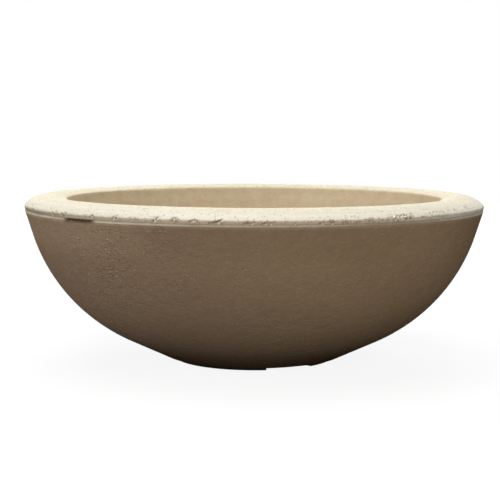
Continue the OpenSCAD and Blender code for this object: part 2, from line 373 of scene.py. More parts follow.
rim_surface = turned_surface([p for points, _ in rim_strips[2:5] for p in points])
bare_from_px, bare_to_px, most_worked_px = (62, 215), (93, 218), (93, 253)
gap_from, gap_to = bearing_seen(*bare_from_px), bearing_seen(*bare_to_px)
print("the seam is bare from %.1f to %.1f degrees" % (
    math.degrees(gap_from), math.degrees(gap_to)))
most_worked = seen_at(surface_of("outer_shell"), *most_worked_px)
print("the body is most worked at", [round(c, 3) for c in most_worked])

# %% The pits that show: (x, y, radius, depth)
shown_pits = [
    (30, 206.5, 2.6, -0.7), (31.5, 209.6, 2.4, 1.6), (33.6, 208.6, 1.5, 0.8),
    (51.6, 212.4, 1.7, 0.9), (53.6, 214.4, 1.6, 1.1), (55.4, 211.6, 1.5, 0.8),
    (52.6, 216.0, 1.5, -0.5), (57.0, 214.2, 1.3, 0.9), (54.6, 216.4, 1.2, 0.8),
    (61.4, 213.9, 1.5, 1.2), (63.4, 215.9, 2.0, 1.6), (65.3, 213.6, 1.6, 1.1),
    (66.0, 216.6, 1.3, -0.5), (64.6, 212.2, 1.2, 0.8),
    (91.3, 215.6, 2.0, 1.7), (91.9, 217.9, 1.7, -0.6), (89.6, 216.6, 1.2, 0.6),
    (115.4, 218.1, 1.9, 1.7), (113.0, 216.9, 1.5, 0.8), (117.3, 218.7, 1.6, -0.6),
    (113.6, 219.6, 1.6, -0.6), (116.5, 215.4, 1.2, 0.7), (112.2, 218.6, 1.2, 0.7),
    (152.8, 220.9, 1.6, 1.3), (155.6, 218.6, 1.8, 1.2), (157.4, 216.9, 1.4, 0.9),
    (155.0, 222.0, 1.6, -0.6), (158.0, 219.4, 1.3, -0.5), (154.0, 216.6, 1.1, 0.7),
    (171.4, 221.2, 1.5, 1.2), (171.8, 219.2, 1.5, 1.3), (173.4, 217.8, 1.5, 1.3),
    (175.6, 218.0, 1.4, 1.0), (173.9, 220.4, 1.4, -0.7), (175.6, 221.6, 1.6, 1.1),
    (177.4, 219.6, 1.3, 0.8),
    (189.6, 221.7, 1.4, 1.0), (191.8, 220.7, 1.6, 1.2), (194.4, 219.9, 1.5, 1.2),
    (193.8, 222.2, 1.4, -0.6), (197.0, 221.0, 1.2, 0.8),
    (209.0, 223.6, 1.3, 1.0), (211.2, 223.2, 1.4, 1.2), (213.4, 222.8, 1.5, 1.4),
    (215.6, 222.3, 1.6, 1.5), (217.8, 221.6, 1.6, 1.5), (219.8, 220.7, 1.5, 1.3),
    (221.4, 219.6, 1.3, 1.0), (218.8, 224.2, 1.4, -0.5), (222.6, 221.6, 1.2, -0.5),
    (243.4, 224.0, 1.3, 1.0), (245.8, 223.5, 1.4, 1.2), (248.2, 223.6, 1.4, 1.1),
    (250.8, 223.1, 1.3, 0.9), (254.0, 222.4, 1.3, 1.0), (247.6, 221.6, 1.2, 0.6),
    (252.4, 225.0, 1.3, -0.5),
    (262.2, 224.2, 1.4, 1.1), (264.6, 223.7, 1.5, 1.3), (267.0, 223.5, 1.4, 1.2),
    (270.0, 223.2, 1.3, 0.9), (274.2, 222.2, 1.3, 1.1), (267.4, 221.3, 1.1, 0.6),
    (266.0, 225.4, 1.3, -0.5), (271.4, 225.2, 1.2, -0.5),
    (320.4, 224.2, 1.5, 1.2), (322.6, 224.6, 1.3, -0.5), (323.4, 222.9, 1.1, 0.7),
    (330.2, 221.4, 1.4, 1.1), (331.6, 223.2, 1.5, 1.3), (334.0, 222.4, 1.5, 1.2),
    (333.0, 220.6, 1.2, 0.9), (332.6, 224.9, 1.3, -0.5),
    (343.4, 223.3, 1.3, 1.1), (345.7, 222.7, 1.3, 1.2), (348.2, 223.1, 1.3, 1.0),
    (346.4, 220.6, 1.1, 0.7), (350.4, 221.6, 1.1, 0.8),
    (369.4, 221.2, 1.4, 1.1), (371.8, 220.4, 1.4, 1.2), (374.0, 219.4, 1.2, 0.9),
]


def cluster(x0, x1, y0, y1, count, radius, depth, seed):
    """Pits strewn over a stretch of the rim, whose lower edge goes from pixel row y0 to y1; two
    in five of them are crumbs."""
    chance, spread_px, found = random.Random(seed), 7, []
    for _ in range(count):
        x, share, wider = chance.uniform(x0, x1), chance.uniform(0, 1), chance.uniform(0.75, 1.25)
        kind, deeper = chance.choice((1, 1, 1, -0.7, -0.7)), chance.uniform(0.7, 1.2)
        y = y0 + (y1 - y0) * (x - x0) / (x1 - x0) + (share - 0.5) * spread_px
        found.append((x, y, radius * wider, depth * kind * deeper))
    return found


pitted_stretches = [
    (387, 412, 219.5, 217.2, 34, 1.5, 1.2, 5), (352, 386, 222.5, 220.0, 12, 1.1, 0.8, 6),
    (420, 462, 216.8, 210.2, 26, 1.0, 0.7, 7), (462, 480, 210.2, 205.5, 10, 1.0, 0.7, 8),
    (276, 318, 224.0, 224.0, 5, 1.0, 0.6, 9), (120, 150, 219.0, 220.5, 4, 1.0, 0.6, 10),
    (68, 88, 216.5, 217.5, 3, 1.0, 0.6, 11),
]
for stretch in pitted_stretches:
    shown_pits += cluster(*stretch)


def points_object(name, points):
    """A mesh of loose points, each with a radius and a depth."""
    mesh = bpy.data.meshes.new(name)
    mesh.from_pydata([place for place, _, _ in points], [], [])
    for title, column in (("size", 1), ("depth", 2)):
        layer = mesh.attributes.new(title, "FLOAT", "POINT")
        layer.data.foreach_set("value", [point[column] for point in points])
    return new_object(name, mesh)


pit_scale, crumb_scale = (1.25, 1.4), (1.6, 1.9)      # of the radius, and of the depth
placed = []
for x, y, radius, depth in shown_pits:
    wider, deeper = pit_scale if depth > 0 else crumb_scale
    placed.append((seen_at(rim_surface, x, y), wider * radius * MM, deeper * depth * MM))
placed = [row for row in placed if row[0] is not None]
pits = points_object("pit_marks", placed)
print("pits that show:", len(placed), "of", len(shown_pits))

# %% [markdown]
# Turning the section. Blender's Screw modifier could turn it, but with the same number of steps
# everywhere. Here nodes do it, like a potter's wheel: a flat grid is wrapped round the axis, one
# strip at a time. Along one side of the grid lie the section's points, along the other the
# steps round the bowl. Where a fine strip meets a coarse one, the fine strip's last row snaps
# to the coarse steps, and merging the doubles then leaves one closed skin with no cracks.

# %% Geometry Nodes: one turned strip
def new_tree(name, inputs):
    """A tree with named inputs that gives one mesh. Returns its maker, its input wires by name,
    its output node, and the identifiers by which a modifier sets the inputs."""
    tree = bpy.data.node_groups.new(name, "GeometryNodeTree")
    identifiers = {}
    for title, kind, value in inputs:
        socket = tree.interface.new_socket(title, in_out="INPUT",
                                           socket_type="NodeSocket" + kind)
        if value is not None:
            socket.default_value = value
        identifiers[title] = socket.identifier
    tree.interface.new_socket("Mesh", in_out="OUTPUT", socket_type="NodeSocketGeometry")
    m, source = Maker(tree), tree.nodes.new("NodeGroupInput")
    wires = {title: Wire(m, source.outputs[title]) for title, *_ in inputs}
    return m, wires, tree.nodes.new("NodeGroupOutput"), identifiers


m, wires, finish, _ = new_tree("turned strip", [
    ("Section", "Geometry", None), ("First Row", "Int", 0), ("Rows", "Int", 2),
    ("Around", "Int", 64), ("Snap Low", "Int", 1), ("Snap High", "Int", 1)])
strip_tree, rows, around = m.tree, wires["Rows"], wires["Around"]
grid = m.node("GeometryNodeMeshGrid", None,
              {"Size X": 1.0, "Size Y": 1.0, "Vertices X": around + 1, "Vertices Y": rows})
number = m.node("GeometryNodeInputIndex")
step = (number / rows).math("FLOOR")
row = number - step * rows
snap = (1 + (row < 0.5) * (wires["Snap Low"] - 1)
        + (row > rows - 1.5) * (wires["Snap High"] - 1))
turn = (step / snap).math("FLOOR") * snap / around * (2 * math.pi)
radius, _, height = m.parts(m.node(
    "GeometryNodeSampleIndex", {"data_type": "FLOAT_VECTOR", "domain": "POINT"},
    {"Geometry": wires["Section"], "Value": m.node("GeometryNodeInputPosition"),
     "Index": wires["First Row"] + row}))
wrapped = m.node("GeometryNodeSetPosition", None, {
    "Geometry": grid,
    "Position": m.join(radius * turn.math("COSINE"), radius * turn.math("SINE"), height)})
strip_tree.links.new(wrapped.socket, finish.inputs["Mesh"])
print("turned strip:", len(strip_tree.nodes), "nodes")

# %% The whole section as points, and all strips joined into one closed skin
weld_distance = 5e-6


def section_object(name, strips):
    """The section's points, row after row, and what each strip needs to know."""
    points, plan = [], []
    last = strips[-1][0][-1]
    for i, (rows, around) in enumerate(strips):
        own = rows if i == 0 else [last] + rows
        before, after = strips[i - 1][1], strips[(i + 1) % len(strips)][1]
        plan.append((len(points), len(own), around, max(1, around // before),
                     max(1, around // after)))
        points += own
        last = own[-1]
    mesh = bpy.data.meshes.new(name)
    mesh.from_pydata([(r * MM, 0, z * MM) for r, z in points], [], [])
    return new_object(name, mesh), plan


def turned_skin(m, section, plan):
    """Adds the nodes that turn every strip of a section, and weld them into one skin."""
    join = m.tree.nodes.new("GeometryNodeJoinGeometry")
    for first, rows, around, low, high in plan:
        strip = m.node("GeometryNodeGroup", {"node_tree": strip_tree}, {
            "Section": section, "First Row": first, "Rows": rows, "Around": around,
            "Snap Low": low, "Snap High": high})
        m.tree.links.new(strip.socket, join.inputs[0])
    return m.node("GeometryNodeMergeByDistance", None,
                  {"Geometry": Wire(m, join.outputs[0]), "Distance": weld_distance})


def keep(m, skin, name, value):
    """Stores a number on every point, for the material or a later node to read."""
    return m.node("GeometryNodeStoreNamedAttribute", {"data_type": "FLOAT", "domain": "POINT"},
                  {"Geometry": skin, "Name": name, "Value": value})


def push(m, skin, amount, widest, highest):
    """Moves the skin along its normals, and never past a radius or a height, in millimetres."""
    moved = m.node("GeometryNodeSetPosition", None, {
        "Geometry": skin,
        "Offset": m.vector("SCALE", m.node("GeometryNodeInputNormal"), scale=amount)})
    x, y, z = m.parts(m.node("GeometryNodeInputPosition"))
    shrink = (widest * MM / from_axis(x, y)).least(1.0)
    return m.node("GeometryNodeSetPosition", None, {
        "Geometry": moved, "Position": m.join(x * shrink, y * shrink, z.least(highest * MM))})


def close_tree(m, skin, material, finish):
    """Ends a tree: makes its instances real and gives the mesh its material. Ends a
    tree the way the export needs it.
    """
    solid = m.node("GeometryNodeRealizeInstances", None, {"Geometry": skin})
    painted = m.node("GeometryNodeSetMaterial", None, {"Geometry": solid, "Material": material})
    m.tree.links.new(painted.socket, finish.inputs["Mesh"])


def grow(name, source, tree, identifiers, values, sharp=50):
    """Runs a tree on an object and keeps the result as a plain mesh object."""
    modifier = source.modifiers.new(name, "NODES")
    modifier.node_group = tree
    for title, value in values.items():
        modifier[identifiers[title]] = value
    graph = bpy.context.evaluated_depsgraph_get()
    mesh = bpy.data.meshes.new_from_object(source.evaluated_get(graph), depsgraph=graph)
    mesh.name = name
    mesh.polygons.foreach_set("use_smooth", [True] * len(mesh.polygons))
    mesh.set_sharp_from_angle(angle=math.radians(sharp))
    piece = new_object(name, mesh)
    bpy.data.objects.remove(source)
    mesh.calc_loop_triangles()
    print(name, "triangles", len(mesh.loop_triangles), "highest %.1f mm" % (
        1000 * max(v.co.z for v in mesh.vertices)))
    return piece


print("doubles closer than %.3f mm are merged" % (weld_distance * 1000))

# %% [markdown]
# Materials come before the pieces, because each tree ends by handing one out. The bowl is a
# cast, stone-like composite: dull, finely grained and never one flat colour. A painted picture
# could show that, but it would show its seams and pixels too, so noises on the object's own
# coordinates do it. Colour varies in three scales: broad clouds, hand-sized patches and fine
# grain. Bumps work the same way.

# %% Shared parts of every material
def finish_of(name, rough, specular=0.35):
    """A new material; returns it, its maker and its shader node."""
    material = bpy.data.materials.new(name)
    material.use_nodes = True
    tree = material.node_tree
    shader = next(n for n in tree.nodes if n.type == "BSDF_PRINCIPLED")
    shader.inputs["Roughness"].default_value = rough
    shader.inputs["Specular IOR Level"].default_value = specular
    return material, Maker(tree), shader


def feed(m, shader, **wires):
    """Links wires into the shader's sockets, whose names are written with underscores."""
    for name, wire in wires.items():
        m.tree.links.new(wire.socket, shader.inputs[name.replace("_", " ")])


def place_of(m):
    """Where a point is, on the object's own coordinates, in metres."""
    return m.node("ShaderNodeTexCoord", out="Object")


def bump(m, height, distance):
    """Turns a height, in units of distance, into a bent normal."""
    return m.node("ShaderNodeBump", None, {"Height": height, "Distance": distance})


def read(m, name):
    """A number that the piece's tree stored on its points."""
    return m.node("ShaderNodeAttribute", {"attribute_name": name}, out="Fac")


def pinholes(m, place, per_metre, share, size):
    """1 inside small round holes, scattered so that only a share of the cells has one."""
    cell = m.node("ShaderNodeTexVoronoi", {"feature": "F1"},
                  {"Vector": place, "Scale": per_metre, "Randomness": 1.0}, None)
    pick, _, _ = m.parts(Wire(m, cell.outputs["Color"]))
    return (pick < share) * Wire(m, cell.outputs["Distance"]).ramp(size, size * 0.55)


def coats(m, colour, rows):
    """Lays coats over a colour, one after another: each a mask and a colour of the screen."""
    for mask, *coat in rows:
        colour = m.tint(mask, colour, srgb(*coat))
    return colour


def bare_stretch(x, y, start, end):
    """1 between two bearings, where the seam has lost its glue, with soft ends."""
    turn = y.math("ARCTAN2", x)
    return (turn - start).ramp(-0.01, 0.03) * (end - turn).ramp(-0.02, 0.035)


def left_front(x, y, z, start):
    """Grows towards the most worn part of the bowl, its upper left front."""
    return (-x - y * 0.35 + z * 0.6).ramp(start, 0.34)


# %% [markdown]
# The tan body is painted lighter at the upper left, a painted highlight where more light falls,
# and painted darker over the upper front and round the foot, as painted shade. It is smeared
# with glue right under the seam, and where the glue is gone a painted shadow darkens its top.
# Each of these is a mask, made of places only, and a tint. On top come curls like tool marks in
# damp mortar: where a noise crosses its middle it draws a thin line, which is cut as a groove
# with a burr beside it. The grooves and pinholes are painted darker, as painted shade, and the
# burrs lighter, as a painted highlight.

# %% The tan body's colour
body_stone, m, shader = finish_of("body_stone", 0.86, 0.0)
place = place_of(m)
x, y, z = m.parts(place)
cloud = m.noise(place, 7, 3, 0.5)
patch = m.noise(place, 60, 4, 0.6)
grain = m.noise(place, 900, 3, 0.6)
hole = pinholes(m, place, 210, 0.2, 0.3)
# greyer at the left and warmer at the right: a painted tint for the cooler light from the left
tan = m.tint(x.ramp(0.3, -0.3), srgb(174, 145, 112), srgb(170, 144, 121))
bare = bare_stretch(x, y, gap_from, gap_to)
# painted highlight: lighter at the upper left, where more light falls
painted_light_upper_left = x.ramp(-0.1, -0.24) * z.ramp(0.165, 0.2)
# painted shade: darker over the body's upper front
painted_shade_upper_front = x.ramp(-0.17, -0.1) * x.ramp(0.24, 0.12) * z.ramp(0.165, 0.195)
smear = (z + m.noise(place, 26, 3, 0.6) * 0.004).ramp(0.2225, 0.2265) * (1.0 - bare)
# painted shade: darker round the foot, towards the floor
painted_foot_shade = (z + patch * 0.006).ramp(0.044, 0.012) * (from_axis(x, y) > 0.1)
colour = coats(m, tan, [
    (cloud.ramp(0.3, 0.7) * 0.6, 180, 153, 121),
    (patch.ramp(0.35, 0.75) * 0.3, 161, 132, 103),
    (grain.ramp(0.3, 0.7) * 0.22, 197, 172, 141),
    (painted_light_upper_left * 0.35, 212, 183, 154),
    (painted_shade_upper_front * 0.1, 60, 45, 30),
    (smear * (x.ramp(-0.12, -0.22) * 0.35 + 0.3), 222, 203, 173),
    # painted shadow on the body's top, under the stretch where the glue is gone
    (bare * z.ramp(0.2215, 0.2245) * 0.55, 100, 79, 61),
    (painted_foot_shade * 0.65, 96, 67, 48),
    # painted shade in the curls' grooves, where the relief is lowest
    (read(m, "relief").ramp(0.1, -0.6) * 0.1, 139, 114, 88),
    # painted shade in the pinholes
    (hole * 0.1, 108, 87, 65)])
print("body colour:", len(m.tree.nodes), "nodes")

# %% The tan body's curls
flat = m.vector("MULTIPLY", place, (1.0, 1.0, 1.7))
bent = m.vector("ADD", flat, m.sway(flat, 70, 1, 0.5, 0.016))
line = (m.noise(bent, 118, 0, 0.5) - 0.5).math("ABSOLUTE")
short = m.noise(place, 180, 1, 0.5).ramp(0.46, 0.6)
worked = m.noise(place, 13, 2, 0.5).ramp(0.44, 0.62)
near_most = m.vector("DISTANCE", place, tuple(most_worked), out="Value").ramp(0.095, 0.02)
amount = short * (worked * (left_front(x, y, z, 0.05) * 0.35 + 0.35) + near_most * 0.6 + 0.2)
groove = line.ramp(0.13, 0.0) * amount
burr = line.ramp(0.1, 0.17) * line.ramp(0.27, 0.19) * amount
# painted highlight: the burrs beside the grooves made lighter
colour = m.tint(burr * (near_most * 0.3 + 0.55), colour, srgb(216, 191, 164))
height = (m.noise(place, 330, 3, 0.55) * 0.5 + grain * 0.16 - hole * 0.15 - groove * 0.6
          + burr * 1.2 + m.noise(flat, 125, 2, 0.5) * 1.0)
feed(m, shader, Base_Color=colour, Normal=bump(m, height, 0.00072),
     Roughness=patch.ramp(0.2, 0.9) * 0.1 + 0.8)
print("body stone:", len(m.tree.nodes), "nodes")

# %% [markdown]
# The cream rim is the same kind of cast, but smoother and with more kinds of marks: specks and
# flecks all over, pinholes in a band above its lower edge, dirt and painted shade along that
# edge, and a tan, partly painted shade, on the wall inside the mouth. Painted highlights lighten
# the crown's lower part, the near edge of the mouth and the crumbs; painted shade darkens the
# underside of the lip, the far side, the far edge of the mouth, and the pits and pinholes. The
# height and the distance from the axis tell these places apart, so one material serves the whole
# moulding. What the mesh knows, such as where a pit is, it stores on its points, and the
# material reads it there.

# %% The cream rim's grain, specks and painted highlights
pitted_low, pitted_high = 0.2295, 0.2445      # the heights, in metres, between which pits lie
rim_stone, m, shader = finish_of("rim_stone", 0.8, 0.08)
place = place_of(m)
x, y, z = m.parts(place)
away = from_axis(x, y)
outer, skirt = away > 0.3, away > 0.325
cloud = m.noise(place, 9, 3, 0.5)
patch = m.noise(place, 70, 4, 0.6)
grain = m.noise(place, 1100, 3, 0.6)
hole = pinholes(m, place, 150, 0.2, 0.17).most(
    pinholes(m, place, 240, 0.45, 0.3) * z.ramp(pitted_high, 0.2415) * (z > pitted_low) * outer)
speck = m.noise(place, 420, 2, 0.6)
fleck = m.noise(place, 170, 2, 0.6)
edge_band = z.ramp(0.2455, 0.2415) * outer
drift = m.noise(place, 24, 3, 0.6).ramp(0.4, 0.62) * 0.75 + 0.25
# painted highlight: a lighter band round the rim's outer edge, from the crown's lower part down
painted_light_band = z.ramp(0.2468, 0.243) * z.ramp(0.234, 0.237) * outer
# painted highlight: the crown's lower part lighter, more so from the middle rightwards
painted_light_low_crown = z.ramp(0.2435, 0.2395) * outer * (x.ramp(-0.26, -0.02) * 0.65 + 0.2)
inner_edge = away.ramp(0.2955, 0.288)
# painted highlight along the near edge of the mouth
painted_highlight_near_mouth_edge = inner_edge * y.ramp(-0.02, -0.12) * (x.ramp(-0.1, 0.0) * 0.4 + 0.45)
# painted shade along the far edge of the mouth
painted_shade_far_mouth_edge = inner_edge * y.ramp(-0.1, 0.0) * y.ramp(0.2, 0.12)
plain = m.tint(cloud.ramp(0.3, 0.7), srgb(230, 223, 199), srgb(235, 228, 206))
cream = coats(m, plain, [
    (patch.ramp(0.45, 0.8) * 0.4, 222, 212, 188),
    (speck.ramp(0.47, 0.33) * (edge_band * 0.3 + 0.55), 193, 178, 146),
    (speck.ramp(0.53, 0.66) * 0.6, 243, 238, 224),
    (fleck.ramp(0.48, 0.36) * drift * 0.8, 208, 192, 157),
    (fleck.ramp(0.58, 0.7) * 0.4, 243, 238, 224),
    (painted_light_band * 0.6, 243, 238, 221),
    (painted_light_low_crown, 255, 248, 232),
    (painted_highlight_near_mouth_edge, 253, 249, 236),
    (painted_shade_far_mouth_edge * 0.6, 222, 208, 180)])
print("rim grain:", len(m.tree.nodes), "nodes")

# %% The cream rim's dirt and painted shade, its pits and the tan inside the mouth
# partly dirt, partly painted shade: the rim's outer lip darker below its edge, most at the left
# end
lip_dirt_and_shade = (z + m.noise(place, 55, 3, 0.6) * 0.004).ramp(0.2372, 0.2322) * skirt
dirt_and_shade_colour = m.tint(x.ramp(-0.24, -0.31), srgb(226, 206, 173), srgb(180, 160, 134))
cream = m.tint(lip_dirt_and_shade * (0.9 - x.ramp(0.1, 0.24) * 0.6), cream, dirt_and_shade_colour)
# painted shade: darker under the lip, and on the far side of the rim
painted_shade_under_lip, painted_shade_far_side = z.ramp(0.2297, 0.2283) * skirt, y.ramp(0.12, 0.3)
cream = coats(m, cream, [
    (painted_shade_under_lip * 0.6, 150, 130, 102),
    (painted_shade_far_side * 0.22, 214, 197, 163),
    (read(m, "stained") * 0.35, 196, 174, 138)])
# the inner wall's tan: partly the moulding's own colour, partly painted shade
tan_and_shade_wall = m.tint(patch.ramp(0.3, 0.75), srgb(211, 196, 167), srgb(202, 185, 156))
inside = (z + cloud * 0.004).ramp(0.2465, 0.2405) * (away < 0.29)
pit = read(m, "pit")
colour = coats(m, m.tint(inside, cream, tan_and_shade_wall), [
    # painted shade and dirt: darker inside the pits
    (pit.ramp(0.1, 0.8) * 0.8, 162, 139, 108),
    # painted highlight: the crumbs made lighter
    (pit.ramp(-0.1, -0.6) * 0.75, 253, 247, 231),
    # painted shade in the pinholes
    (hole * 0.5, 172, 151, 119)])
height = (m.noise(place, 260, 3, 0.55) * 0.45 + grain * 0.14 - hole * 0.7
          + fleck * 0.9 + speck * (edge_band * 1.2 + 0.4))
feed(m, shader, Base_Color=colour, Normal=bump(m, height, 0.00055),
     Roughness=patch.ramp(0.2, 0.9) * 0.12 + 0.72)
print("rim stone:", len(m.tree.nodes), "nodes")

# %% [markdown]
# The glue was squeezed out of the seam. It is paler than the stone on either side, and painted
# darker along stretches of the seam, by its place from left to right, as painted shade.

# %% The pale line of glue in the seam
seam_glue, m, shader = finish_of("seam_glue", 0.6, 0.2)
place = place_of(m)
x, _, _ = m.parts(place)
plain = m.tint(m.noise(place, 45, 3, 0.6).ramp(0.35, 0.65), srgb(252, 243, 222),
               srgb(238, 223, 197))
# painted shade: darker along stretches of the seam, by the place from left to right
wear_and_shade = (x.ramp(-0.16, -0.08) * 0.33 + x.ramp(0.06, 0.16) * x.ramp(0.3, 0.2) * 0.37
        - x.ramp(0.24, 0.3) * 0.25)
colour = coats(m, plain, [
    (wear_and_shade, 170, 150, 120),
    # painted shadow in the gap where the glue is gone
    (read(m, "gone"), 104, 84, 64),
    (m.noise(place, 500, 2, 0.5).ramp(0.55, 0.7) * 0.4, 176, 158, 128)])
feed(m, shader, Base_Color=colour, Normal=bump(m, m.noise(place, 420, 3, 0.6), 0.0005))
print("seam glue:", len(m.tree.nodes), "nodes")

# %% [markdown]
# The drain and the pads are moulded plastic and rubber, and nearly hidden. Such parts differ in
# little but shade, grain and gloss, so one recipe with those three as its inputs makes them
# all. The CAD nodes keep their own meshes and only get their material.

# %% Moulded plastic and rubber for the drain and the pads
def moulded(name, dark, light, rough, specular, per_metre, depth):
    """Grained plastic or rubber: two close shades, a fine grain and dust in patches."""
    material, m, shader = finish_of(name, rough, specular)
    place = place_of(m)
    wear_and_shade = m.noise(place, 90, 4, 0.6)
    grain = m.noise(place, per_metre, 2, 0.5)
    colour = m.tint(wear_and_shade.ramp(0.3, 0.75), dark, light)
    feed(m, shader, Base_Color=m.tint(grain.ramp(0.45, 0.8) * 0.2, colour, light),
         Normal=bump(m, grain + wear_and_shade * 0.3, depth),
         Roughness=wear_and_shade.ramp(0.3, 0.8) * 0.16 + (rough - 0.08))
    return material


for name, nodes, dark, light, rough, specular, per_metre, depth in (
        ("drain_plastic", ("drain_bush", "bush_nut"), (58, 57, 55), (76, 74, 70),
         0.48, 0.4, 1600, 0.00012),
        ("grid_plastic", ("drain_grid",), (66, 64, 61), (88, 85, 79), 0.55, 0.4, 1500, 0.00012),
        ("gasket_rubber", ("bush_gasket",), (106, 52, 42), (122, 66, 54), 0.8, 0.4, 900, 0.0002),
        ("plug_rubber", ("bush_washer", "drain_plug"), (36, 36, 37), (54, 53, 52),
         0.7, 0.4, 1100, 0.00015),
        ("pad_rubber", ("foot_pads",), (40, 33, 29), (54, 46, 41), 0.82, 0.1, 800, 0.00025)):
    material = moulded(name, srgb(*dark), srgb(*light), rough, specular, per_metre, depth)
    for node in nodes:
        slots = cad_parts[node].data.materials
        if slots:
            slots[0] = material
        else:
            slots.append(material)
print("materials:", len(bpy.data.materials))

# %% [markdown]
# The body is the turned section with a worn skin. On the real bowl it is covered in small
# curls and crescents. Sculpting them would take a finer mesh than a piece may have, so the
# material has the fine ones as bump, and the mesh carries the broad ones, a gentle undulation
# that the outline shows too. A noise whose place is bent by a second noise draws it, and a
# third noise says where it is strong.

# %% The body
curl_depth, curls_per_metre = 0.00045, 75.0
m, wires, finish, sockets = new_tree("bowl body", [
    ("Section", "Geometry", None), ("Curl Depth", "Float", curl_depth),
    ("Curls Per Metre", "Float", curls_per_metre)])
source, plan = section_object("bowl_body_section", shell_strips)
skin = turned_skin(m, wires["Section"], plan)
place = m.node("GeometryNodeInputPosition")
x, y, z = m.parts(place)
bent = m.vector("ADD", place, m.sway(place, 38, 2, 0.5, 0.02))
curl = m.noise(bent, wires["Curls Per Metre"], 2, 0.55)
ridge = (curl - 0.5).math("ABSOLUTE").ramp(0.0, 0.075)
strong = m.noise(place, 9, 2, 0.5).ramp(0.42, 0.62) * 0.55 + 0.35
relief = (ridge - 1.0) * (strong + left_front(x, y, z, 0.08) * 0.5)
outward_x, outward_y, _ = m.parts(m.node("GeometryNodeInputNormal"))
outside = ((x * outward_x + y * outward_y) > 0.0) * z.ramp(0.008, 0.016) * z.ramp(0.2252, 0.222)
relief = relief * outside
skin = keep(m, skin, "relief", relief)
skin = push(m, skin, relief * wires["Curl Depth"], bowl_r - 0.4, bowl_h)
close_tree(m, skin, body_stone, finish)
bowl_body = grow("bowl_body", source, m.tree, sockets, {
    "Curl Depth": curl_depth, "Curls Per Metre": curls_per_metre})

# %% [markdown]
# The rim is turned the same way, with twice as many steps along its outer edge as over its
# crown, because the pits there are only a few millimetres across. Cutting each pit out with a
# Boolean would be slow and would leave torn faces. Instead the tree takes the listed pits as
# points, strews others over the half that the photograph doesn't show, and each point of the
# skin looks up its nearest pit and sinks into it.

# %% The rim: its section, turned, and pits strewn over the unseen half
strewn_per_square_metre, unevenness, strewing_seed = 26000.0, 0.0004, 3
m, wires, finish, sockets = new_tree("rim moulding", [
    ("Section", "Geometry", None), ("Pits", "Object", None),
    ("Strewn Per Square Metre", "Float", strewn_per_square_metre),
    ("Unevenness", "Float", unevenness), ("Seed", "Int", strewing_seed)])
source, plan = section_object("rim_moulding_section", rim_strips)
skin = turned_skin(m, wires["Section"], plan)
place = m.node("GeometryNodeInputPosition")
x, y, z = m.parts(place)
away = from_axis(x, y)
thick = m.noise(place, 14, 2, 0.6).ramp(0.5, 0.62) + 0.12
edge = (y > 0.03) * (z > pitted_low) * (z < pitted_high) * (away > 0.334)
strewn = m.node("GeometryNodeDistributePointsOnFaces", {"distribute_method": "RANDOM"}, {
    "Mesh": skin, "Selection": edge, "Density": wires["Strewn Per Square Metre"] * thick,
    "Seed": wires["Seed"]})


def dice(m, low, high, seed):
    """A random number for every point. For plain numbers, a Random Value node takes its limits
    at sockets 2 and 3 and its seed at socket 8, and gives its value at output 1."""
    return m.node("FunctionNodeRandomValue", {"data_type": "FLOAT"},
                  {2: low, 3: high, 8: seed}, 1)


crumb_share, crumb_lift = 0.25, 0.0018
strewn = keep(m, strewn, "size", dice(m, 0.0008, 0.0019, 11))
strewn = keep(m, strewn, "depth", dice(m, 0.0004, 0.0014, 12)
              - (dice(m, 0.0, 1.0, 13) < crumb_share) * crumb_lift)
listed = m.node("GeometryNodeMeshToPoints", None, {
    "Mesh": m.node("GeometryNodeObjectInfo", None, {"Object": wires["Pits"]}, "Geometry")})
join = m.tree.nodes.new("GeometryNodeJoinGeometry")
for points in (listed, strewn):
    m.tree.links.new(points.socket, join.inputs[0])
marks = Wire(m, join.outputs[0])
print("rim, before its pits:", len(m.tree.nodes), "nodes")

# %% The rim: each point of the skin looks up its nearest pit
here = m.vector("ADD", place, m.sway(place, 420, 2, 0.6, 0.0016))
nearest = m.node("GeometryNodeSampleNearest", {"domain": "POINT"},
                 {"Geometry": marks, "Sample Position": here})


def look_up(m, kind, value):
    """What the nearest pit says."""
    return m.node("GeometryNodeSampleIndex", {"data_type": kind, "domain": "POINT"},
                  {"Geometry": marks, "Value": value, "Index": nearest})


def stored(m, name):
    """A number that was kept on the points of this tree's geometry."""
    return m.node("GeometryNodeInputNamedAttribute", {"data_type": "FLOAT"}, {"Name": name})


centre = look_up(m, "FLOAT_VECTOR", m.node("GeometryNodeInputPosition"))
size, depth = look_up(m, "FLOAT", stored(m, "size")), look_up(m, "FLOAT", stored(m, "depth"))
far = m.vector("LENGTH", m.vector("SUBTRACT", here, centre), out="Value") / size
print("rim, with its pits looked up:", len(m.tree.nodes), "nodes")

# %% The rim: sink into the pits, roughen and finish
hollow = far.ramp(1.0, 0.25)
raised = far.ramp(1.0, 1.25) * far.ramp(1.9, 1.25) * 0.25
outer_side, above_seam = away > 0.29, z > 0.2262
skin = keep(m, skin, "pit", hollow * depth.math("SIGN") * outer_side)
skin = keep(m, skin, "stained", far.ramp(2.8, 1.0) * outer_side)
sunk = (raised * depth.math("ABSOLUTE") - hollow * depth) * outer_side
uneven = (m.noise(place, 16, 3, 0.55) - 1.2) * wires["Unevenness"] * 2.0
band = z.ramp(0.2455, 0.2405) * outer_side * above_seam
granular = (m.noise(place, 330, 2, 0.6) - 0.8) * band * wires["Unevenness"] * 1.2
skin = push(m, skin, uneven * above_seam + granular + sunk, bowl_r - 0.05, bowl_h)
close_tree(m, skin, rim_stone, finish)
rim_moulding = grow("rim_moulding", source, m.tree, sockets, {
    "Pits": pits, "Strewn Per Square Metre": strewn_per_square_metre,
    "Unevenness": unevenness, "Seed": strewing_seed})
bpy.data.objects.remove(pits)

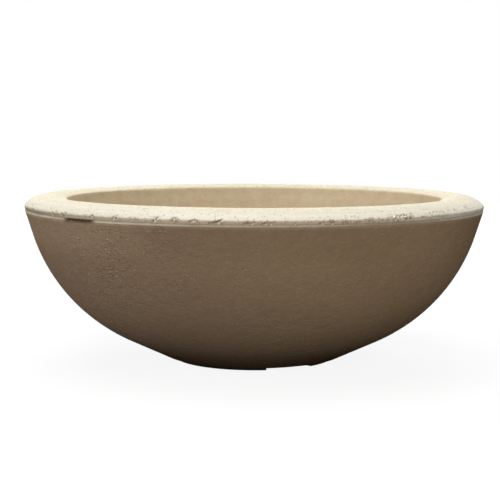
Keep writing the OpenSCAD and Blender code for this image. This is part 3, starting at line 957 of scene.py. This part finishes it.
# %% [markdown]
# The seam's ridge is glue that was squeezed out between rim and body: a bead a couple of
# millimetres high that wanders a little in and out. A torus would be too even, so a small
# section is swept round a circle whose points are moved first. At the left front the photograph
# shows the bead broken away, with a dark gap in its place, so there the section shrinks back
# into the seam.

# %% The ridge of glue
wander, shadow_gap, bead_round = 0.0006, 0.35, 0.00095
ridge_in, ridge_out = lip_in_r - 0.2, side_out_r + 1.2
middle, middle_z = (ridge_in + ridge_out) / 2 * MM, (seam_z - shadow_gap / 2) * MM
m, wires, finish, sockets = new_tree("seam ridge", [
    ("Circle", "Geometry", None), ("Gap From", "Float", gap_from), ("Gap To", "Float", gap_to),
    ("Wander", "Float", wander)])
circle = m.node("GeometryNodeCurvePrimitiveCircle", {"mode": "RADIUS"},
                {"Resolution": 1440, "Radius": middle})
place = m.node("GeometryNodeInputPosition")
x, y, _ = m.parts(place)
gone = bare_stretch(x, y, wires["Gap From"], wires["Gap To"])
inward = (m.noise(place, 30, 3, 0.6) - 0.72).least(0.0) * wires["Wander"] * 1.6 - gone * 0.0018
stretch = (inward + middle) / middle
path = m.node("GeometryNodeSetPosition", None, {
    "Geometry": circle, "Position": m.join(x * stretch, y * stretch, middle_z)})
path = keep(m, path, "gone", gone)
profile = m.node("GeometryNodeFilletCurve", {"mode": "POLY"}, {
    "Curve": m.node("GeometryNodeCurvePrimitiveQuadrilateral", {"mode": "RECTANGLE"},
                    {"Width": (seam_h - shadow_gap) * MM, "Height": (ridge_out - ridge_in) * MM}),
    "Count": 3, "Radius": bead_round, "Limit Radius": True})
ring = m.node("GeometryNodeCurveToMesh", None, {
    "Curve": path, "Profile Curve": profile, "Scale": 1.0 - stored(m, "gone") * 0.68})
rough = m.noise(m.node("GeometryNodeInputPosition"), 300, 3, 0.6) - 0.6
ring = push(m, ring, rough * 0.0004, bowl_r, bowl_h)
close_tree(m, ring, seam_glue, finish)
source = new_object("ridge_source", bpy.data.meshes.new("ridge_source"))
seam_ridge = grow("seam_ridge", source, m.tree, sockets, {
    "Gap From": gap_from, "Gap To": gap_to, "Wander": wander}, 60)

# %% Are the skins closed, and do they face outwards?
for piece in (bowl_body, rim_moulding, seam_ridge):
    mesh = bmesh.new()
    mesh.from_mesh(piece.data)
    open_edges = sum(not edge.is_manifold for edge in mesh.edges)
    print(piece.name, "open edges", open_edges, "volume %.3f litres" % (
        1000 * mesh.calc_volume(signed=True)))
    mesh.free()

# %% [markdown]
# Each piece now rides on the planter's body and stands for its CAD node, which is hidden. The
# CAD nodes of the drain and the pads keep their own meshes.

# %% Fit the pieces to the frame
for piece, node, slot in ((bowl_body, "outer_shell", "shell_stone"),
                          (rim_moulding, "rim_and_liner", "rim_stone"),
                          (seam_ridge, "seam_bead", "seam_glue")):
    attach(piece, "planter")
    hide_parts(node)
    print(piece.name, "stands for", node)

# %% [markdown]
# The photograph is a studio shot: white all round, with broad soft light from above and in front
# that leaves the underside of the bowl nearly black. A single big lamp comes close, but not to
# the slow fall of light across the body, so there are five, and the strength of each was found
# by matching the photograph. The floor looks white to the camera but throws little light back
# up, which is what keeps the underside dark; the object's own shadow still shows on it.

# %% Floor
floor_half = 9
floor_mesh = bpy.data.meshes.new("floor")
floor_mesh.from_pydata([(x * floor_half, y * floor_half, 0)
                        for x, y in ((-1, -1), (1, -1), (1, 1), (-1, 1))], [], [(0, 1, 2, 3)])
floor = new_object("floor", floor_mesh)


def seen_plainly(m):
    """1 for rays from the camera, or by way of gloss or glass."""
    path = m.node("ShaderNodeLightPath", None, None, None)
    return Wire(m, path.outputs["Is Camera Ray"]).most(
        Wire(m, path.outputs["Is Glossy Ray"])).most(Wire(m, path.outputs["Is Transmission Ray"]))


floor_white, m, shader = finish_of("floor_white", 1.0, 0.0)
shader.inputs["Base Color"].default_value = (0.24, 0.24, 0.24, 1.0)
distant = m.vector("LENGTH", place_of(m), out="Value").ramp(0.5, 2.5)
bright = m.node("ShaderNodeEmission", None,
                {"Color": (1, 1, 1, 1), "Strength": distant * 0.1 + 0.9})
pale = m.node("ShaderNodeBsdfDiffuse", None, {"Color": (0.14, 0.14, 0.14, 1)})
both = m.node("ShaderNodeAddShader", None, {0: bright, 1: pale})
mixed = m.node("ShaderNodeMixShader", None,
               {0: seen_plainly(m), 1: Wire(m, shader.outputs[0]), 2: both})
out = next(n for n in m.tree.nodes if n.type == "OUTPUT_MATERIAL")
m.tree.links.new(mixed.socket, out.inputs["Surface"])
floor_mesh.materials.append(floor_white)
print("the floor is %d metres wide" % (2 * floor_half))

# %% World and lamps
world = bpy.data.worlds.new("studio")
bpy.context.scene.world = world
world.use_nodes = True
world.node_tree.nodes.clear()
m = Maker(world.node_tree)
dim = m.node("ShaderNodeBackground", None, {"Color": (1.0, 0.98, 0.95, 1), "Strength": 0.04})
white = m.node("ShaderNodeBackground", None, {"Color": (1, 1, 1, 1), "Strength": 1.0})
mixed = m.node("ShaderNodeMixShader", None, {0: seen_plainly(m), 1: dim, 2: white})
out = m.tree.nodes.new("ShaderNodeOutputWorld")
m.tree.links.new(mixed.socket, out.inputs["Surface"])

lamp_target = Vector((0, 0, 0.15))
for name, place, width, depth, watts, colour in (
        ("overhead", (-0.3, -0.1, 2.3), 2.2, 2.2, 47, (1.0, 0.992, 0.981)),
        ("front", (0.0, -3.3, 1.0), 1.8, 1.2, 26, (1.0, 0.978, 0.964)),
        ("front_right", (1.5, -2.4, 1.8), 1.8, 1.2, 9, (1.0, 0.993, 0.94)),
        ("left", (-2.8, -0.3, 1.0), 1.8, 1.2, 15.3, (0.932, 0.933, 1.0)),
        ("back", (0.3, 2.8, 1.7), 2.0, 1.4, 45.6, (0.921, 0.954, 1.0))):
    lamp = new_object(name, bpy.data.lights.new(name, "AREA"))
    lamp.data.shape, lamp.data.size, lamp.data.size_y = "RECTANGLE", width, depth
    lamp.data.energy, lamp.data.color = watts, colour
    lamp.location = place
    lamp.rotation_euler = (lamp_target - Vector(place)).to_track_quat("-Z", "Y").to_euler()
bpy.context.scene.view_settings.view_transform = "Standard"
